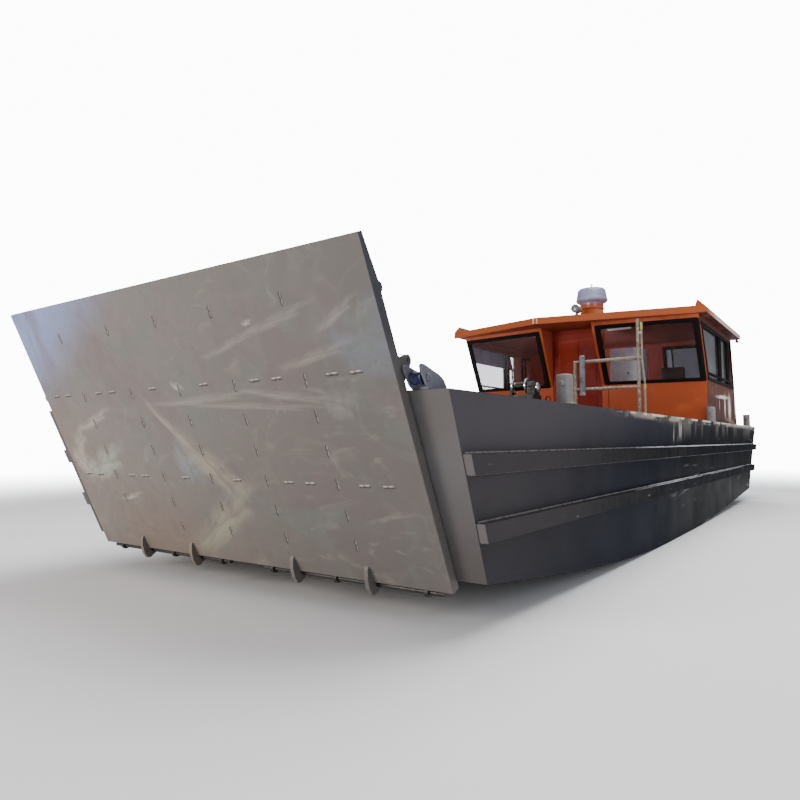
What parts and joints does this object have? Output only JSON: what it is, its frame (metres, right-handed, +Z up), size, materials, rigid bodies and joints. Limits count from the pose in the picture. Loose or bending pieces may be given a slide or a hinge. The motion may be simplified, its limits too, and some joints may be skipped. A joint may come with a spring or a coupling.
{
  "type": "landing craft",
  "caption": "Steel landing craft with a full-width bow ramp, open cargo deck and aft wheelhouse; its ramp, door, hatch, screws and rudders move.",
  "frame": {"origin": "on the flat of the hull's bottom, on the centreline, halfway along the stretch it stands on", "axes": "+X towards the bow ramp, +Y to port, +Z up"},
  "size_m": [13.2946, 4.4882, 3.94],
  "materials": {
    "grey": "scuffed grey paint",
    "slate": "dark slate-grey hull paint, glossy when wet",
    "rail_grey": "grey paint",
    "orange": "weathered orange paint",
    "white": "pale lilac-grey gel coat",
    "cream": "light grey paint",
    "black": "black",
    "blue": "dark blue paint",
    "steel": "bright worn steel",
    "bronze": "cast bronze",
    "glass": "dark safety glass"
  },
  "bodies": {
    "hull": {"bollard_port_aft": "grey", "bollard_port_fore": "grey", "bollard_port_mid": "grey", "bollard_starboard_aft": "grey", "bollard_starboard_fore": "grey", "bollard_starboard_mid": "grey", "cabinet": "cream", "engine_port": "cream", "engine_starboard": "cream", "front_middle": "orange", "front_port": "orange", "front_starboard": "orange", "glass_front_port": "glass", "glass_front_starboard": "glass", "glass_rear_port": "glass", "glass_rear_starboard": "glass", "glass_side_port": "glass", "glass_side_starboard": "glass", "guard_rail": "grey", "helm_console": "black", "helm_seat": "black", "hull": "slate", "radome": "white", "ramp_hinge_port": "rail_grey", "ramp_hinge_starboard": "rail_grey", "rear_wall": "orange", "roof": "orange", "rub_rail_port_lower": "rail_grey", "rub_rail_port_upper": "rail_grey", "rub_rail_starboard_lower": "rail_grey", "rub_rail_starboard_upper": "rail_grey", "searchlight": "white", "sheave_bracket_port": "grey", "sheave_bracket_starboard": "grey", "side_wall_port": "orange", "side_wall_starboard": "orange", "stern_lamp_port": "black", "stern_lamp_starboard": "black", "winch_frame": "blue"},
    "ramp": {"ramp": "grey"},
    "sheave_port": {"sheave_port": "blue"},
    "sheave_starboard": {"sheave_starboard": "blue"},
    "winch_drum": {"winch_drum": "steel"},
    "wheelhouse_door": {"wheelhouse_door": "orange"},
    "engine_hatch": {"engine_hatch": "grey"},
    "helm_wheel": {"helm_wheel": "black"},
    "screw_port": {"screw_port": "bronze"},
    "screw_starboard": {"screw_starboard": "bronze"},
    "rudder_port": {"rudder_port": "rail_grey"},
    "rudder_starboard": {"rudder_starboard": "rail_grey"}
  },
  "joints": [
    {"name": "ramp_hinge", "type": "hinge", "parent": "hull", "child": "ramp", "pos_m": [5.606, 0, 0.235], "axis": [0, 1, 0], "range_deg": [0, 69.9]},
    {"name": "sheave_port_spin", "type": "hinge", "parent": "hull", "child": "sheave_port", "pos_m": [6.15, 2.015, 1.577], "axis": [0, 1, 0], "continuous": true},
    {"name": "sheave_starboard_spin", "type": "hinge", "parent": "hull", "child": "sheave_starboard", "pos_m": [6.15, -2.015, 1.577], "axis": [0, 1, 0], "continuous": true},
    {"name": "winch_drum_spin", "type": "hinge", "parent": "hull", "child": "winch_drum", "pos_m": [0.3, -0.04, 2.03], "axis": [0, 1, 0], "continuous": true},
    {"name": "wheelhouse_door_hinge", "type": "hinge", "parent": "hull", "child": "wheelhouse_door", "pos_m": [-1.9205, -0.335, 1.24], "axis": [0, 0, 1], "range_deg": [-90, 0]},
    {"name": "engine_hatch_hinge", "type": "hinge", "parent": "hull", "child": "engine_hatch", "pos_m": [-5.25, 0, 1.1903], "axis": [0, 1, 0], "range_deg": [0, 95]},
    {"name": "helm_wheel_spin", "type": "hinge", "parent": "hull", "child": "helm_wheel", "pos_m": [-2.95, 1.17, 1.85], "axis": [1, 0, 0], "continuous": true},
    {"name": "screw_port_spin", "type": "hinge", "parent": "hull", "child": "screw_port", "pos_m": [-5.35, 1.05, 0.36], "axis": [1, 0, 0], "continuous": true},
    {"name": "screw_starboard_spin", "type": "hinge", "parent": "hull", "child": "screw_starboard", "pos_m": [-5.35, -1.05, 0.36], "axis": [1, 0, 0], "continuous": true},
    {"name": "rudder_port_turn", "type": "hinge", "parent": "hull", "child": "rudder_port", "pos_m": [-5.75, 1.05, 0.6594], "axis": [0, 0, 1], "range_deg": [-35, 35]},
    {"name": "rudder_starboard_turn", "type": "hinge", "parent": "hull", "child": "rudder_starboard", "pos_m": [-5.75, -1.05, 0.6594], "axis": [0, 0, 1], "range_deg": [-35, 35]}
  ],
  "couplings": [
    {"joint": "rudder_starboard_turn", "follows": "rudder_port_turn", "ratio": 1}
  ]
}
